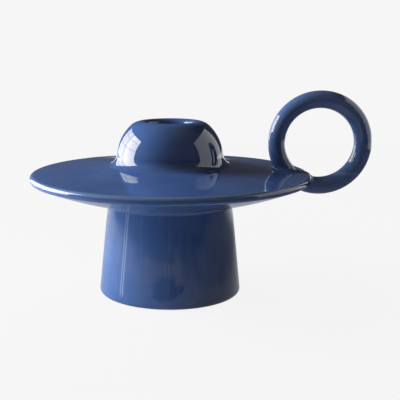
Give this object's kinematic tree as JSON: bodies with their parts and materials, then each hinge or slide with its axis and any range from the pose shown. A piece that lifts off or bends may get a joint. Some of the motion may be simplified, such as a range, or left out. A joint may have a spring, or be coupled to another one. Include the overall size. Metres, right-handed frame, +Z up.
{
  "type": "chamberstick",
  "caption": "Low candle holder shaped like a brimmed hat: hollow pedestal foot, wide drip plate, squat dome with a candle bore, and an upright ring as its finger loop.",
  "frame": {"origin": "where the axis of the pedestal foot meets the surface it stands on", "axes": "+Z up along the axis of foot, dome and candle bore; +X from that axis towards the finger ring, which stands in the XZ plane"},
  "size_m": [0.1656, 0.136, 0.0988],
  "materials": {
    "foot_glaze": "gloss",
    "plate_glaze": "gloss",
    "dome_glaze": "gloss",
    "cup_glaze": "gloss",
    "ring_glaze": "gloss"
  },
  "bodies": {
    "root": {"pedestal_foot": "foot_glaze", "foot_seam_coil": "foot_glaze", "saucer_shell": "plate_glaze", "brim_shell": "plate_glaze", "dome_seam_coil": "dome_glaze", "socket_dome": "dome_glaze", "candle_cup": "cup_glaze", "finger_ring": "ring_glaze"}
  },
  "joints": []
}
